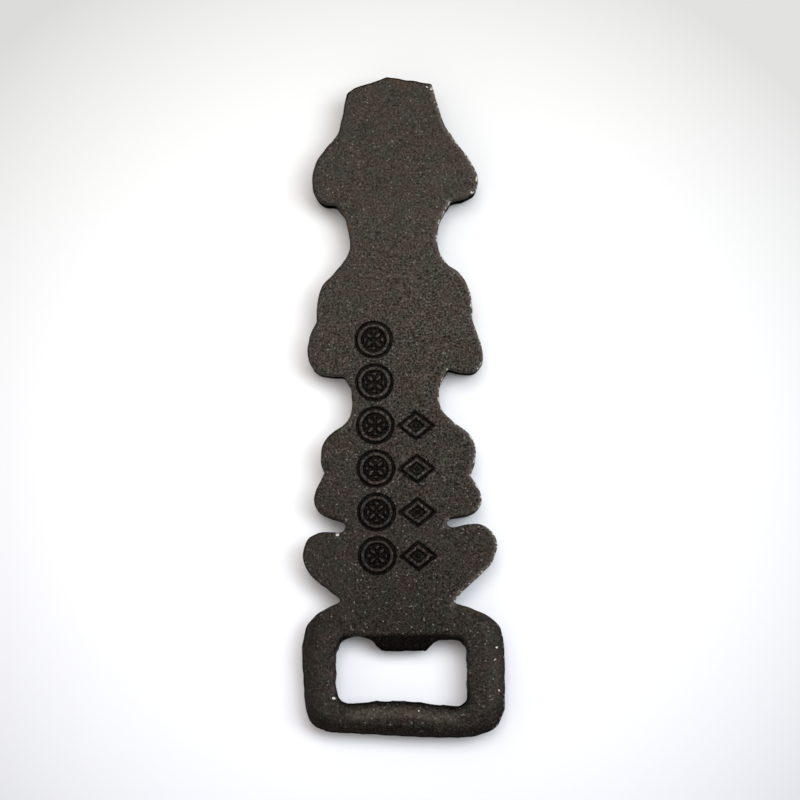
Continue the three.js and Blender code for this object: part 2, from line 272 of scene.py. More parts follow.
class NoiseField:
    """Repeatable smooth noise over the plan, mostly within -2 to 2, with bumps of roughly `size` mm."""

    PITCH = 0.15  # mm between the values that are kept
    SPAN = 160  # mm, more than the opener's length
    BAND = 0.45  # how much the bumps differ in size

    def __init__(self, size):
        count = int(self.SPAN / self.PITCH)
        axes = np.fft.fftfreq(count, self.PITCH), np.fft.rfftfreq(count, self.PITCH)
        frequency = np.hypot(*np.meshgrid(*axes, indexing="ij"))
        white = np.fft.rfft2(rng.standard_normal((count, count)))
        band = np.exp(-0.5 * ((frequency * size - 1) / self.BAND) ** 2)
        field = np.fft.irfft2(white * band, s=(count, count))
        self.field = field / field.std()
        self.count = count

    def at(self, x, y):
        u = (np.asarray(x) / self.PITCH + self.count / 2) % self.count
        v = (np.asarray(y) / self.PITCH + self.count / 2) % self.count
        i, j = np.floor(u).astype(int), np.floor(v).astype(int)
        s, t = u - i, v - j
        i, j, k, m = i % self.count, j % self.count, (i + 1) % self.count, (j + 1) % self.count
        f = self.field
        return (f[i, j] * (1 - s) + f[k, j] * s) * (1 - t) + (f[i, m] * (1 - s) + f[k, m] * s) * t


SWELL = NoiseField(14)
RIPPLE = NoiseField(4)
GRAIN = NoiseField(1.5)
SAND = NoiseField(0.8)
SKIN_HEIGHTS = ((SWELL, 0.05), (RIPPLE, 0.022), (GRAIN, 0.014), (SAND, 0.012))


def cast_skin(x, y):
    """The uneven sand-cast surface: soft waves, ripples and grain."""
    return sum(height * field.at(x, y) for field, height in SKIN_HEIGHTS)


class Plan:
    """The opener's plan: its two outlines, and how far any point is from them."""

    def __init__(self):
        outlines = {"casting": CASTING_OUTLINE, "opening": OPENING_OUTLINE}
        smooth = {name: outline_loop(outlines[name], CORNER_ROUND[name]) for name in outlines}
        self.centre = (smooth["casting"].min(0) + smooth["casting"].max(0)) / 2
        self.fine = {name: rough_loop(smooth[name], *WOBBLE[name]) for name in smooth}
        self.trees = {name: self.tree_of(loop) for name, loop in self.fine.items()}
        self.outward = loop_normals(self.fine["casting"], -1)

    @staticmethod
    def tree_of(loop):
        tree = kdtree.KDTree(len(loop))
        for k, (x, y) in enumerate(loop):
            tree.insert((x, y, 0), k)
        tree.balance()
        return tree

    def distance(self, name, points):
        find = self.trees[name].find
        return np.array([find((x, y, 0))[2] for x, y in points])

    def facing(self, points):
        """How squarely the nearest stretch of the outside faces +X: 1 fully, -1 away from it."""
        find = self.trees["casting"].find
        return np.array([self.outward[find((x, y, 0))[1], 0] for x, y in points])

    def away(self, points):
        """For each point, the step to it from the nearest outline, which leads into the metal."""
        directions = np.empty((len(points), 2))
        for k, (x, y) in enumerate(points):
            hits = [tree.find((x, y, 0)) for tree in self.trees.values()]
            nearest = min(hits, key=lambda hit: hit[2])[0]
            directions[k] = x - nearest[0], y - nearest[1]
        return directions


def inside(points, loops):
    """Even-odd test against closed outlines: true where there is metal."""
    crossings = np.zeros(len(points), int)
    for loop in loops.values():
        a, b = loop, np.roll(loop, -1, axis=0)
        for low in range(0, len(points), POINTS_AT_ONCE):
            batch = slice(low, low + POINTS_AT_ONCE)
            x, y = points[batch].T[:, :, None]
            spans = (a[:, 1] > y) != (b[:, 1] > y)
            with np.errstate(divide="ignore", invalid="ignore"):
                cross_x = a[:, 0] + (y - a[:, 1]) * (b[:, 0] - a[:, 0]) / (b[:, 1] - a[:, 1])
            crossings[batch] += (spans & (x < cross_x)).sum(1)
    return crossings % 2 == 1


def along_line(line, x, y):
    """How far along a line's span each point lies, from 0 to 1, and how far off the line, in mm."""
    (x0, y0), (x1, y1) = line["from"], line["to"]
    length = math.hypot(x1 - x0, y1 - y0)
    along = ((x - x0) * (x1 - x0) + (y - y0) * (y1 - y0)) / length**2
    off = ((x - x0) * (y1 - y0) - (y - y0) * (x1 - x0)) / length
    return along, off


def within(along):
    """1 along the middle of a span, falling to 0 at its two ends."""
    return step_between(0, MARK_ENDS, along) * step_between(1, 1 - MARK_ENDS, along)


def marks_height(x, y, outer):
    """The chips, dents, scratches and the ridge on the loop's shoulder."""
    z = np.zeros_like(x)
    for at_x, at_y, radius in CHIPS:
        z -= CHIP_DEPTH * np.exp(-((x - at_x) ** 2 + (y - at_y) ** 2) / radius**2)
    for at_x, at_y, radius, depth in DENTS:
        from_middle = np.hypot(x - at_x, y - at_y)
        dish = step_between(radius, radius - DENT_SIDE, from_middle)
        z -= depth * dish * step_between(radius, -radius, y - at_y)  # deeper on its lower side
    for scratch in SCRATCHES:
        along, off = along_line(scratch, x, y)
        z -= scratch["depth"] * np.exp(-((off / scratch["half_width"]) ** 2)) * within(along)
    along, _ = along_line(RIDGE, x, y)
    across = (outer - RIDGE["inside"]) / RIDGE["half_width"]
    z += RIDGE["rise"] * np.exp(-(across**2)) * within(along)
    return z


def bevel_height(x, y):
    """The tooth's bevel on the back, from one straight crease. Elsewhere it lies well above the metal."""
    slope = (BACK_Z - TOOTH["tip_z"]) / (TOOTH["root_y"] - TOOTH["tip_y"])
    bevel = BACK_Z - slope * (TOOTH["root_y"] - y)
    out, back_in = BEVEL_FADE
    faded = step_between(TOOTH["left"] - out, TOOTH["left"] + back_in, x)
    faded = faded * step_between(TOOTH["right"] + out, TOOTH["right"] - back_in, x)
    bevel = np.where(y > BEVELS_STOP_Y, mix(UNCUT_Z, bevel, faded), UNCUT_Z)
    return bevel + BEVEL_SKIN * cast_skin(y, x)


def back_height(x, y, outer, inner):
    looped = step_between(LOOP_STARTS, LOOP_ENDS, y)
    reach, drop = (mix(a, b, looped) for a, b in zip(HANDLE_BACK_ROUND, LOOP_BACK_ROUND))
    z = BACK_Z - edge_drop(outer, reach, drop) - edge_drop(inner, *OPENING_BACK_ROUND)
    z = z + ornament_height(ornament_distance(x, y))
    z = z + cast_skin(x, y) + marks_height(x, y, outer)
    bevel = bevel_height(x, y)
    blend = np.clip(0.5 + (z - bevel) / (2 * CREASE), 0, 1)
    return mix(z, bevel, blend) - CREASE * blend * (1 - blend)


def front_height(x, y, outer, inner):
    """The hidden front: cushioned pads with an incised border, a plain loop and the tooth's underside."""
    looped = step_between(LOOP_STARTS, LOOP_ENDS, y)
    reach, drop = (mix(a, b, looped) for a, b in zip(HANDLE_FRONT_ROUND, LOOP_FRONT_ROUND))
    z = edge_drop(outer, reach, drop) + edge_drop(inner, *OPENING_FRONT_ROUND)
    for saddle_y in SADDLES_Y:
        z = z + SADDLE_DEPTH * np.exp(-((y - saddle_y) / SADDLE_WIDTH) ** 2)
    border = np.exp(-((outer - BORDER["inside"]) / BORDER["half_width"]) ** 2) * (1 - looped)
    z = z + BORDER["depth"] * border
    slope = TOOTH_UNDER["tip_z"] / (TOOTH_UNDER["root_y"] - TOOTH["tip_y"])
    under = slope * (TOOTH_UNDER["root_y"] - y) * step_between(*TOOTH_UNDER["fade"], np.abs(x))
    z = np.where(y > BEVELS_STOP_Y, np.maximum(z, under), z)
    return np.maximum(z + FRONT_SKIN * np.abs(cast_skin(x + FRONT_SKIN_SHIFT, y)), 0.0)


# ---------------------------------------------------------------- the mesh, in mm
PLAIN_STEP = {"back": 0.38, "front": 0.6}  # spacing of the points away from edges and ornament
JITTER = 0.12  # how far those points are shifted, as a share of their spacing
ORNAMENT_STEP = 0.15
ORNAMENT_AREA = np.array([[-9.5, -38.0], [8.0, 18.5]])
ORNAMENT_NEAR = 0.8  # the finer points lie nearer than this to the ornament,
ORNAMENT_CLEAR = 0.95  # and the plain ones farther than this
ROW_ANGLES = (18, 36, 54, 72, 90)  # degrees round the rounded edge at which a row of points follows it
ROW_REACH = 0.9  # the last row's distance from the outline
ROW_SLACK = 0.03  # how much nearer than its distance to an outline a row's point may be
PLAIN_INSET = 0.2  # from the last row to the plain points
MERGE_WITHIN = 1e-6
POINTS_AT_ONCE = 2000
WALL_ROWS = 6
WALL_SKIN = 1.6  # how rough the walls are, compared with the back
WALL_SKIN_DRIFT = (3.1, 2.3)  # how far the skin's pattern shifts along x and y for every mm of height
CLEARANCE = 0.005  # the mesh stays this far inside the CAD's box


def hex_grid(low, high, step):
    rows = np.arange(low[1], high[1], step * math.sqrt(0.75))
    points = []
    for k, y in enumerate(rows):
        x = np.arange(low[0] + (k % 2) * step / 2, high[0], step)
        points.append(np.stack([x, np.full_like(x, y)], 1))
    points = np.vstack(points)
    return points + rng.uniform(-JITTER, JITTER, points.shape) * step


def surface_points(plan, loops, normals, side):
    """Points over the plan for one surface: rows that follow the outlines, then an even spread."""
    gathered = []
    offsets = [ROW_REACH * (1 - math.cos(math.radians(a))) for a in ROW_ANGLES]
    if side == "front":
        offsets = offsets[1::2]
    for name, loop in loops.items():
        for offset in offsets:
            row = loop + normals[name] * offset
            clear = np.minimum(*(plan.distance(n, row) for n in loops)) > offset - ROW_SLACK
            gathered.append(row[clear])
    low, high = plan.fine["casting"].min(0), plan.fine["casting"].max(0)
    plain = hex_grid(low, high, PLAIN_STEP[side])
    if side == "back":
        plain = plain[ornament_distance(*plain.T) > ORNAMENT_CLEAR]
        dense = hex_grid(*ORNAMENT_AREA, ORNAMENT_STEP)
        gathered.append(dense[ornament_distance(*dense.T) < ORNAMENT_NEAR])
    plain = plain[inside(plain, plan.fine)]
    edge = np.minimum(*(plan.distance(n, plain) for n in loops))
    gathered.append(plain[edge > ROW_REACH + PLAIN_INSET])
    return np.vstack(gathered)


def triangulate(loops, points):
    """Delaunay triangles over the metal, with the outlines kept as edges. Loop points come first."""
    everything = np.vstack([*loops.values(), points])
    edges, start = [], 0
    for loop in loops.values():
        count = len(loop)
        edges += [(start + k, start + (k + 1) % count) for k in range(count)]
        start += count
    found = delaunay_2d_cdt([Vector(p) for p in everything], edges, [], 0, MERGE_WITHIN, True)
    verts = np.array([tuple(v) for v in found[0]])
    source = [ids[0] if ids else -1 for ids in found[3]]
    faces = np.array([tuple(f) for f in found[2]])
    faces = faces[inside(verts[faces].mean(1), loops)]
    order = np.argsort(source, kind="stable")
    rank = np.empty(len(order), int)
    rank[order] = np.arange(len(order))
    verts, faces = verts[order], rank[faces]
    a, b, c = (verts[faces[:, k]] for k in range(3))
    turn = (b[:, 0] - a[:, 0]) * (c[:, 1] - a[:, 1]) - (b[:, 1] - a[:, 1]) * (c[:, 0] - a[:, 0])
    faces[turn < 0] = faces[turn < 0][:, ::-1]
    return verts, faces


def lean_in(plan, loops, normals, verts, edge):
    """The front's points, moved in with the walls by the draft. The outlines' points come first."""
    away = plan.away(verts)
    away /= np.maximum(np.linalg.norm(away, axis=1), 1e-9)[:, None]
    rim = sum(len(loop) for loop in loops.values())
    away[:rim] = np.vstack([normals[name] for name in loops])
    lean = DRAFT * np.clip(1 - edge / DRAFT_REACH, 0, 1)
    return verts + away * lean[:, None]


def surface(plan, loops, normals, side):
    """One surface's x, y, z and faces. The outlines' points come first, in order."""
    verts, faces = triangulate(loops, surface_points(plan, loops, normals, side))
    outer, inner = (plan.distance(name, verts) for name in loops)
    rim = sum(len(loop) for loop in loops.values())
    on_outside = outer[:rim] < inner[:rim]
    outer[:rim][on_outside] = 0
    inner[:rim][~on_outside] = 0
    height = back_height if side == "back" else front_height
    z = height(verts[:, 0], verts[:, 1], outer, inner)
    if side == "front":
        verts = lean_in(plan, loops, normals, verts, np.minimum(outer, inner))
        faces = faces[:, ::-1]
    return np.column_stack([verts, z]), faces


def wall_rows(top, bottom, outward):
    """Rows of points between two closed rims."""
    rows = []
    for k in range(1, WALL_ROWS):
        row = mix(top, bottom, k / WALL_ROWS)
        drift_x, drift_y = (drift * row[:, 2] for drift in WALL_SKIN_DRIFT)
        skin = WALL_SKIN * cast_skin(row[:, 0] + drift_x, row[:, 1] + drift_y)
        row[:, :2] += outward * skin[:, None] * math.sin(math.pi * k / WALL_ROWS)
        rows.append(row)
    return rows


def casting_mesh():
    """Vertices in mm, faces, and finish and painted light of the whole casting."""
    plan = Plan()
    loops = {name: even_loop(loop, WALL_STEP) for name, loop in plan.fine.items()}
    # into the metal: to the left of the outer outline, to the right of the opening's
    normals = {"casting": loop_normals(loops["casting"], 1), "opening": loop_normals(loops["opening"], -1)}
    back, back_faces = surface(plan, loops, normals, "back")
    front, front_faces = surface(plan, loops, normals, "front")
    verts = [back, front]
    faces = [tuple(f) for f in back_faces] + [tuple(f) for f in front_faces + len(back)]
    total, start = len(back) + len(front), 0
    for name, loop in loops.items():
        count = len(loop)
        rows = wall_rows(back[start:start + count], front[start:start + count], -normals[name])
        starts = [start, *(total + k * count for k in range(len(rows))), len(back) + start]
        for upper, lower in zip(starts, starts[1:]):
            for k in range(count):
                after = (k + 1) % count
                quad = (upper + k, lower + k, lower + after, upper + after)
                faces.append(quad if name == "casting" else quad[::-1])
        verts += rows
        total += count * len(rows)
        start += count
    verts = np.vstack(verts)
    finish_and_light = finish_and_light_of(plan, verts)
    verts[:, :2] -= plan.centre
    reach = HIGH[:2] - CLEARANCE
    verts = np.clip(verts, [*-reach, CLEARANCE], [*reach, HIGH[2] - CLEARANCE])
    return verts, faces, finish_and_light


# ---------------------------------------------------------------- finish and painted light: what covers the iron, and painted shade, highlight and glints, 0 to 1
# Each of these pairs holds the value on the handle and the one on the loop.
WALL_TOP = (0.9, 3.0)  # mm below the back at which the rounded edge has become a wall
HIGHLIGHT_RIM = (1.0, 4.5)  # mm in from its right-hand edges, which face the light, over which a paler highlight is painted
HIGHLIGHT_COVER = (1, 0.22)
CHIPS_GLINTS_FROM, CHIPS_GLINTS_TO = (0.8, 2.6), (0.4, 2.0)  # mm below the back between which the chips and the painted glints begin
# Each of these pairs is a span, in mm, over which a cover grows from none to full: an EDGE is measured from
# the outline, a DEPTH down from the back.
GROOVE_EDGE = (0.5, 0.2)  # from the groove's middle
WALL_DEPTH, WALL_EDGE = (1.0, 2.2), (1.2, 0.4)
CROWN_Y, CROWN_EDGE = (64, 67), (0.5, 0.2)
BEVEL_ROOT = (0.1, 0.5)  # past the bevel's root
OPENING_RIM_Y, OPENING_RIM_EDGE = (-60, -62), (1.5, 0.6)
FAR_SIDE_Y, FAR_SIDE_EDGE = (-62, -66), (4.2, 5.6)
CREST_X, CREST_Y = (13, 9), (-61, -63.5)
CREST_NEAR_EDGE, CREST_FAR_EDGE = (0.9, 2.4), (4.0, 2.9)
RUST_EDGE = (0.9, 0.35)
SPECKLE_EDGE = (0.45, 0.15)

# painted shade: how dark each place is painted where shade falls, in grooves, on walls, along the crown's top
# and on the bevel
PAINTED_SHADE_COVER = {"groove": 0.7, "wall": 0.8, "crown": 0.8, "bevel": 0.62, "opening_rim": 0.6, "far_side": 0.38}
WALL_TOP_BLEND = 0.3
BEVEL_HALF_WIDTH = 13
SHADE_UNDER_HIGHLIGHT = 0.85  # how much of the painted shade gives way where the painted highlight lies
HIGHLIGHT_CREST = 0.55
HIGHLIGHT_FULLY = 0.3  # share of the highlighted rim that is fully highlighted
HIGHLIGHT_FACING, SPECKLE_FACING = (0.2, 0.75), (0.3, 0.8)  # how squarely the edge faces right
SPECKLE_GRAIN = (-0.1, 0.8)  # level of the grain over which a speckle begins
RUSTED_EDGES = [(9.1, 36, 6), (9, 0, 6), (21, -57, 8), (-13.9, -57, 6), (-10, 39, 3.5), (9, 64, 4),
                (18, 48, 3), (-9.8, -2, 3), (16.5, -45.5, 5)]  # x, y, reach
RUST_PATCHES = [(1.2, 69.9, 1.7), (2.8, 69.6, 1.3)]  # x, y, radius
RUST_CORE = {"edge": 0.4, "patch": 0.3}  # share of the reach, or of the radius, with full rust
RUST_RAGGED = 0.25  # mm by which the grain makes the rust's border ragged
RUST_PATCH_COVER = 0.7


def painted_shade_cover(x, y, below, outer, inner, on_back):
    """Painted shade in the ornament's grooves, on the walls, along the crown's top and on the tooth's bevel.
    """
    groove = np.abs(ornament_distance(x, y) - TRENCH_AWAY)
    edge = np.minimum(outer, inner)
    on_bevel = (y > TOOTH["tip_y"] - 1) & (np.abs(x) < BEVEL_HALF_WIDTH)
    return np.maximum.reduce([
        PAINTED_SHADE_COVER["groove"] * on_back * step_between(*GROOVE_EDGE, groove),
        PAINTED_SHADE_COVER["wall"] * step_between(*WALL_DEPTH, below) * step_between(*WALL_EDGE, edge),
        PAINTED_SHADE_COVER["crown"] * step_between(*CROWN_Y, y) * step_between(*CROWN_EDGE, outer),
        PAINTED_SHADE_COVER["bevel"] * step_between(*BEVEL_ROOT, TOOTH["root_y"] - y) * on_bevel,
    ])


def far_bar_painted_shade(y, inner, on_back):
    """Painted shade on both sides of the far bar's crest: round the opening, and low on the outside."""
    rim = on_back * step_between(*OPENING_RIM_EDGE, inner) * step_between(*OPENING_RIM_Y, y)
    low = step_between(*FAR_SIDE_EDGE, inner) * step_between(*FAR_SIDE_Y, y)
    return np.maximum(PAINTED_SHADE_COVER["opening_rim"] * rim, PAINTED_SHADE_COVER["far_side"] * low)


def painted_highlight_cover(x, y, outer, inner, facing, looped, on_back):
    """Painted highlight along the right-hand edges, which face the light, and on the crest of the far bar."""
    rim = mix(*HIGHLIGHT_RIM, looped)
    edges = on_back * step_between(*HIGHLIGHT_FACING, facing) * step_between(rim, HIGHLIGHT_FULLY * rim, outer)
    crest = step_between(*CREST_NEAR_EDGE, inner) * step_between(*CREST_FAR_EDGE, inner)
    crest = crest * step_between(*CREST_Y, y) * step_between(*CREST_X, np.abs(x))
    return np.maximum(edges * mix(*HIGHLIGHT_COVER, looped), HIGHLIGHT_CREST * crest)


def rust_cover(x, y, edge):
    """Rust along stretches of the edges, and in two patches at the crown."""
    rust = np.zeros_like(x)
    for at_x, at_y, reach in RUSTED_EDGES:
        near = step_between(reach, RUST_CORE["edge"] * reach, np.hypot(x - at_x, y - at_y))
        rust = np.maximum(rust, near * step_between(*RUST_EDGE, edge + RUST_RAGGED * GRAIN.at(x, y)))
    for at_x, at_y, radius in RUST_PATCHES:
        near = step_between(radius, RUST_CORE["patch"] * radius, np.hypot(x - at_x, y - at_y))
        rust = np.maximum(rust, RUST_PATCH_COVER * near)
    return rust


def chips_and_glints_cover(x, y, below, outer, facing, looped):
    """Bare metal in the chips, and painted glints in speckles along the right-hand edges, which face the
    light.
    """
    chips_and_glints = np.zeros_like(x)
    for at_x, at_y, radius in CHIPS:
        chips_and_glints = np.maximum(chips_and_glints, np.exp(-((x - at_x) ** 2 + (y - at_y) ** 2) / radius**2))
    speckled = step_between(*SPECKLE_GRAIN, GRAIN.at(2 * x, 2 * y))
    speckled = speckled * step_between(*SPECKLE_EDGE, outer) * step_between(*SPECKLE_FACING, facing)
    chips_and_glints = np.maximum(chips_and_glints, speckled)
    return chips_and_glints * step_between(mix(*CHIPS_GLINTS_FROM, looped), mix(*CHIPS_GLINTS_TO, looped), below)


def finish_and_light_of(plan, verts):
    """Per point, 0 to 1: painted shade, rust, painted highlight, and bare metal with painted glints."""
    x, y, z = verts.T
    outer, inner = plan.distance("casting", verts[:, :2]), plan.distance("opening", verts[:, :2])
    facing = plan.facing(verts[:, :2])
    below = BACK_Z - z
    looped = step_between(LOOP_STARTS, LOOP_ENDS, y)
    wall_top = mix(*WALL_TOP, looped)
    on_back = step_between(wall_top + WALL_TOP_BLEND, wall_top - WALL_TOP_BLEND, below)
    painted_highlight = painted_highlight_cover(x, y, outer, inner, facing, looped, on_back)
    # painted shade, lifted where the painted highlight lies
    painted_shade = painted_shade_cover(x, y, below, outer, inner, on_back) * (1 - SHADE_UNDER_HIGHLIGHT * painted_highlight)
    return {
        "painted_shade": np.maximum(painted_shade, far_bar_painted_shade(y, inner, on_back)),
        "rust": rust_cover(x, y, np.minimum(outer, inner)),
        "painted_highlight": painted_highlight,
        "chips_and_glints": chips_and_glints_cover(x, y, below, outer, facing, looped),
    }


def build_casting():
    verts, faces, finish_and_light = casting_mesh()
    mesh = bpy.data.meshes.new("opener")
    mesh.from_pydata([tuple(v) for v in verts * MM], [], faces)
    mesh.validate()
    mesh.update()
    mesh.polygons.foreach_set("use_smooth", [True] * len(mesh.polygons))
    for name, values in finish_and_light.items():
        mesh.attributes.new(name, "FLOAT", "POINT").data.foreach_set("value", values)
    opener = bpy.data.objects.new("opener", mesh)
    bpy.context.scene.collection.objects.link(opener)
    return opener


# ---------------------------------------------------------------- materials, in metres
IRON_WARM = (0.0345, 0.0272, 0.0236, 1)
IRON_COOL = (0.0298, 0.0272, 0.0232, 1)
IRON_EDGE = (0.035, 0.034, 0.03, 1)  # how little the sandy skin reflects at a grazing angle
# the colour of the painted highlight
HIGHLIGHT_COLOUR = (0.11, 0.094, 0.08, 1)
# the colour of the painted glints
GLINT = (0.145, 0.14, 0.132, 1)
RUST = (0.063, 0.044, 0.031, 1)
# the colour of the bare metal in the chips and of the painted glints along the right-hand edges
CHIP_AND_GLINT_COLOUR = (0.6, 0.57, 0.52, 1)
# the colour of the painted shade
PAINTED_SHADE_COLOUR = (0.007, 0.0068, 0.0055, 1)
# Noise patterns: (scale per metre, detail, roughness), the part of the noise that is used, what it becomes.
MOTTLES = ((330, 3, 0.6), (0.42, 0.58), (0, 1))
FINE_GRAIN = ((2400, 2, 0.6), (0.3, 0.7), (0.37, 1.63))
WIDE_GRAIN = ((800, 2, 0.5), (0.3, 0.7), (0.92, 1.08))
HIGHLIGHT_PATCHES = ((1300, 2, 0.6), (0.3, 0.65), (0.15, 1))
RUST_SPOTS = ((1500, 3, 0.7), (0.4, 0.55), (0.15, 1))
CHIP_GLINT_SPOTS = ((3000, 2, 0.5), (0.35, 0.62), (0.35, 1.3))
GLOSS = ((900, 2, 0.5), (0.35, 0.65), (0.3, 0.5))
BUMPS = (1700, 3, 0.6)
BUMP_HEIGHT = 0.28 * MM
CHIP_GLINT_EDGE = (0.35, 0.6)  # amounts of chips and painted glints between which a spot begins
GLINT_CELL_SCALE = 2700.0  # cells of painted glints per metre
GLINT_TONES = (0.7, 1)  # span of a cell's random tone over which its painted glint grows from none to full
GLINT_RARITY = 6.5  # the higher, the fewer bright glints
GLINT_CELL_EDGE = (0.6, 0.3)  # a cell's painted glint fades in between these distances from its middle
# Where the grain is coarsest: place, metres over which that fades, strength. They lie beside the ornament,
# above the opening and on the far bar. A pool of light is painted on the skin round the first.
COARSE_PLACES = [((0.014, 0.001, 0.007), (0.016, 0.056), 1.7),
                 ((0.004, -0.043, 0.007), (0.008, 0.024), 1.5),
                 ((0.004, -0.065, 0.007), (0.006, 0.020), 1.6)]
COARSE_ELSEWHERE = 0.88
# painted light: how much the skin's colour is brightened at the first place, and elsewhere
PALE_THERE, PALE_ELSEWHERE = 1.66, 1.09
LOOP_SHADE_SPAN = (-0.025, 0.03)  # metres along Y over which painted shade turns the skin from darker, near the loop, to paler
# how dark the painted shade near the loop makes the skin
LOOP_SHADE_DARK = 0.67
METALLIC, METALLIC_SHADED = 0.6, 1
ALL_SHADED = 0.8  # amount of painted shade from which the skin counts as fully shaded

TABLE_HALF = 3.0
# painted light: the table's tint stands in for the colour of the light, cooler at the front
TABLE_FRONT = (0.91, 0.935, 1, 1)
TABLE_BACK = (0.93, 0.95, 0.95, 1)
TABLE_TURNS = (-0.08, 0.08)  # y over which the front's tint turns into the back's
TABLE_MIDDLE = (-0.006, -0.011, 0)  # the middle of the pool of light painted on the table
TABLE_FADE = 27.0  # how fast the table darkens with the square of the distance from there, in metres
TABLE_FLOOR = 0.6  # the darkest that it gets, next to the middle
TABLE_ROUGHNESS = 0.9
TABLE_SPECULAR = 0.1


class Nodes:
    """A material's or a world's nodes, with short calls for the kinds used here."""

    def __init__(self, owner, coordinates):
        owner.use_nodes = True
        self.nodes = owner.node_tree.nodes
        self.link = owner.node_tree.links.new
        self.place = self.add("ShaderNodeTexCoord").outputs[coordinates]

    def add(self, kind, **settings):
        node = self.nodes.new(kind)
        for key, value in settings.items():
            if key in node.inputs:
                node.inputs[key].default_value = value
            else:
                setattr(node, key, value)
        return node

    def feed(self, socket, value):
        """Gives an input another node's output, or a plain value."""
        if isinstance(value, bpy.types.NodeSocket):
            self.link(value, socket)
        else:
            socket.default_value = value

    def maths(self, operation, *values):
        node = self.add("ShaderNodeMath", operation=operation)
        for socket, value in zip(node.inputs, values):
            self.feed(socket, value)
        return node.outputs[0]

    def vector(self, operation, a, b, output):
        node = self.add("ShaderNodeVectorMath", operation=operation)
        self.feed(node.inputs[0], a)
        self.feed(node.inputs["Scale" if operation == "SCALE" else 1], b)
        return node.outputs[output]

    def axis(self, name):
        node = self.add("ShaderNodeSeparateXYZ")
        self.link(self.place, node.inputs[0])
        return node.outputs[name]

    def ramp(self, value, low, high, low_to, high_to):
        node = self.add("ShaderNodeMapRange")
        self.feed(node.inputs["Value"], value)
        for key, number in zip(("From Min", "From Max", "To Min", "To Max"), (low, high, low_to, high_to)):
            node.inputs[key].default_value = number
        return node.outputs["Result"]

    def colour_mix(self, factor, a, b):
        node = self.add("ShaderNodeMix", data_type="RGBA")
        for socket, value in zip((node.inputs["Factor"], node.inputs[6], node.inputs[7]), (factor, a, b)):
            self.feed(socket, value)
        return node.outputs[2]

    def noise(self, scale, detail, roughness):
        node = self.add("ShaderNodeTexNoise", Scale=scale, Detail=detail, Roughness=roughness)
        self.link(self.place, node.inputs["Vector"])
        return node.outputs["Fac"]

    def pattern(self, noise, used, becomes):
        return self.ramp(self.noise(*noise), *used, *becomes)

    def painted(self, name):
        return self.add("ShaderNodeAttribute", attribute_name=name).outputs["Fac"]


def coarseness(nodes):
    """How coarse the grain is from place to place."""
    coarse = COARSE_ELSEWHERE
    for middle, reach, strength in COARSE_PLACES:
        away = nodes.vector("DISTANCE", nodes.place, middle, "Value")
        coarse = nodes.maths("MAXIMUM", coarse, nodes.ramp(away, *reach, strength, COARSE_ELSEWHERE))
    return coarse


def skin_brightness(nodes, coarse):
    """The grain, on a skin with a pool of light painted beside the ornament and painted shade towards the
    loop.
    """
    grain = nodes.maths("MULTIPLY", nodes.pattern(*FINE_GRAIN), nodes.pattern(*WIDE_GRAIN))
    grain = nodes.maths("MULTIPLY", nodes.maths("SUBTRACT", grain, 1.0), coarse)
    grain = nodes.maths("ADD", grain, 1.0)
    palest, reach, _ = COARSE_PLACES[0]
    away = nodes.vector("DISTANCE", nodes.place, palest, "Value")
    paler = nodes.ramp(away, *reach, PALE_THERE, PALE_ELSEWHERE)
    # painted shade, darker towards the loop
    loop_shade = nodes.ramp(nodes.axis("Y"), *LOOP_SHADE_SPAN, LOOP_SHADE_DARK, 1)
    return nodes.maths("MULTIPLY", grain, nodes.maths("MULTIPLY", paler, loop_shade))


def painted_glints(nodes):
    """Painted glints, in cells over the skin: most faint, a few bright."""
    glint_cells = nodes.add("ShaderNodeTexVoronoi", Scale=GLINT_CELL_SCALE)
    nodes.link(nodes.place, glint_cells.inputs["Vector"])
    tone = nodes.add("ShaderNodeSeparateColor")
    nodes.link(glint_cells.outputs["Color"], tone.inputs["Color"])
    brightness = nodes.maths("POWER", nodes.ramp(tone.outputs[0], *GLINT_TONES, 0, 1), GLINT_RARITY)
    return nodes.maths("MULTIPLY", brightness, nodes.ramp(glint_cells.outputs["Distance"], *GLINT_CELL_EDGE, 0, 1))


